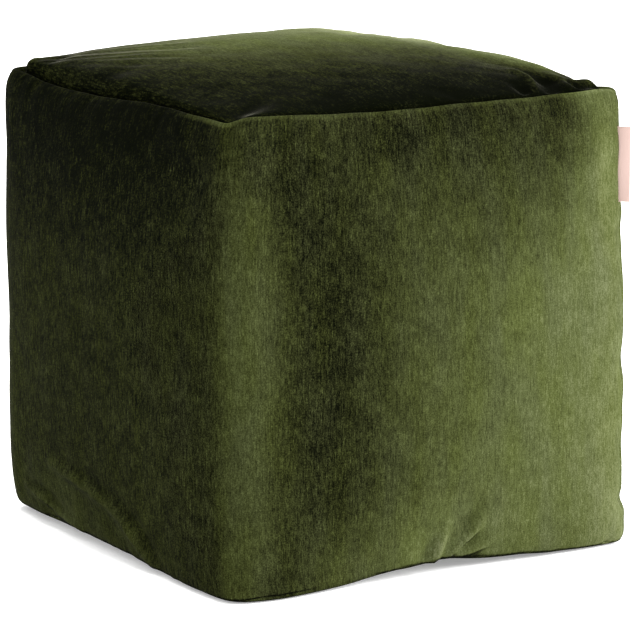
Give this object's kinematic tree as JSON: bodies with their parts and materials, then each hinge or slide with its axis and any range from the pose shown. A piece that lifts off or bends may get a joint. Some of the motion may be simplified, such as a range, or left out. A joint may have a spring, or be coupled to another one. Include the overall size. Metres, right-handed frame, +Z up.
{
  "type": "cube pouf stool",
  "caption": "Soft cube pouf in dark olive velvet with a crowned top panel, a wrapped side band, a flat bottom panel and a bare folded side label.",
  "frame": {"origin": "on the floor, under the middle of the pouf's outer box", "axes": "+Z up, out of the crowned top; +X along the front face towards the closing seam and its label; -Y out of the front face"},
  "size_m": [0.4438, 0.4436, 0.4369],
  "materials": {
    "velvet": "dark olive cut-pile velvet with fine vertical ribs and a pale sheen at grazing angles",
    "ribbon": "pale salmon woven ribbon, bare"
  },
  "bodies": {
    "root": {"top_panel": "velvet", "side_band": "velvet", "bottom_panel": "velvet", "label": "ribbon"}
  },
  "joints": []
}
